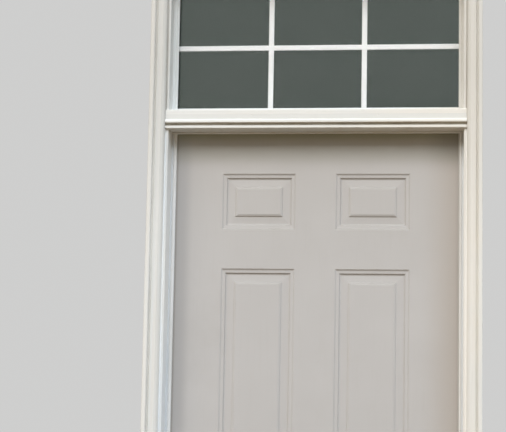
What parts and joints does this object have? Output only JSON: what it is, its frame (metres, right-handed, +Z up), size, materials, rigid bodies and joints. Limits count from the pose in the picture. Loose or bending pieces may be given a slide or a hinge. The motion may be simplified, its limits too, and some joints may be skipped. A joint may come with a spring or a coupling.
{
  "type": "panelled front door",
  "caption": "Panelled entry door hung in its rabbeted frame, with brick moulding, a sill and a grilled transom light above it.",
  "frame": {"origin": "middle of the width at the outer edge of the jambs, on the underside of the sill", "axes": "+X to the right seen from outside, +Y into the house, +Z up"},
  "size_m": [0.9996, 0.2007, 2.5589],
  "materials": {
    "casing_paint": "satin cream paint",
    "frame_paint": "satin off-white paint",
    "white_vinyl": "satin",
    "soft_vinyl": "matt",
    "glass": "clear",
    "white_bars": "satin",
    "mill_aluminium": "mill",
    "door_paint": "satin warm grey paint",
    "foam": "cellular",
    "softwood": "raw",
    "sill_composite": "matt",
    "zinc_steel": "satin",
    "satin_nickel": "satin"
  },
  "bodies": {
    "frame": {"strike_jamb": "frame_paint", "hinge_jamb": "frame_paint", "head_jamb": "frame_paint", "transom_sill": "frame_paint", "transom_head": "frame_paint", "casing_left": "casing_paint", "casing_right": "casing_paint", "casing_head": "casing_paint", "mull_trim": "casing_paint", "sill_base": "sill_composite", "threshold": "mill_aluminium", "threshold_cap": "sill_composite", "cap_screws": "zinc_steel", "weatherstrip_left": "soft_vinyl", "weatherstrip_right": "soft_vinyl", "weatherstrip_head": "soft_vinyl", "glazing_bead_left": "white_vinyl", "glazing_bead_right": "white_vinyl", "glazing_bead_top": "white_vinyl", "glazing_bead_bottom": "white_vinyl", "glass_stop_left": "frame_paint", "glass_stop_right": "frame_paint", "glass_stop_top": "frame_paint", "glass_stop_bottom": "frame_paint", "outer_pane": "glass", "inner_pane": "glass", "glass_spacer": "mill_aluminium", "grille_bars": "white_bars", "hinge_jamb_leaf_1": "satin_nickel", "hinge_jamb_leaf_2": "satin_nickel", "hinge_jamb_leaf_3": "satin_nickel", "hinge_pins": "satin_nickel", "latch_strike": "satin_nickel", "deadbolt_strike": "satin_nickel"},
    "door": {"exterior_skin": "door_paint", "interior_skin": "door_paint", "foam_core": "foam", "lock_stile": "softwood", "hinge_stile": "softwood", "top_rail": "softwood", "bottom_rail": "softwood", "lock_block": "softwood", "door_sweep": "soft_vinyl", "hinge_door_leaf_1": "satin_nickel", "hinge_door_leaf_2": "satin_nickel", "hinge_door_leaf_3": "satin_nickel", "latch_case": "satin_nickel", "deadbolt_case": "satin_nickel", "outside_rose": "satin_nickel", "inside_rose": "satin_nickel", "deadbolt_cylinder": "satin_nickel", "thumbturn_rose": "satin_nickel"},
    "handle": {"outside_lever": "satin_nickel", "inside_lever": "satin_nickel", "lever_spindle": "satin_nickel"},
    "latch": {"latch_bolt": "satin_nickel"},
    "thumbturn": {"thumbturn": "satin_nickel"},
    "deadbolt": {"deadbolt_bolt": "satin_nickel"}
  },
  "joints": [
    {"name": "door_swing", "type": "hinge", "parent": "frame", "child": "door", "pos_m": [0.4555, 0.1233, 1], "axis": [0, 0, -1], "range_deg": [0, 105]},
    {"name": "handle_turn", "type": "hinge", "parent": "door", "child": "handle", "pos_m": [-0.3937, 0.09445, 0.952], "axis": [0, 1, 0], "range_deg": [0, 45], "stiffness_Nm_per_rad": 1.2, "springref_deg": -22.92},
    {"name": "latch_slide", "type": "slide", "parent": "door", "child": "latch", "axis": [1, 0, 0], "range_m": [0, 0.012]},
    {"name": "thumbturn_turn", "type": "hinge", "parent": "door", "child": "thumbturn", "pos_m": [-0.3937, 0.12, 1.092], "axis": [0, 1, 0], "range_deg": [0, 90]},
    {"name": "deadbolt_slide", "type": "slide", "parent": "door", "child": "deadbolt", "axis": [-1, 0, 0], "range_m": [0, 0.025]}
  ],
  "couplings": [
    {"joint": "latch_slide", "follows": "handle_turn", "m_per_rad": 0.01527},
    {"joint": "deadbolt_slide", "follows": "thumbturn_turn", "m_per_rad": 0.01591}
  ]
}
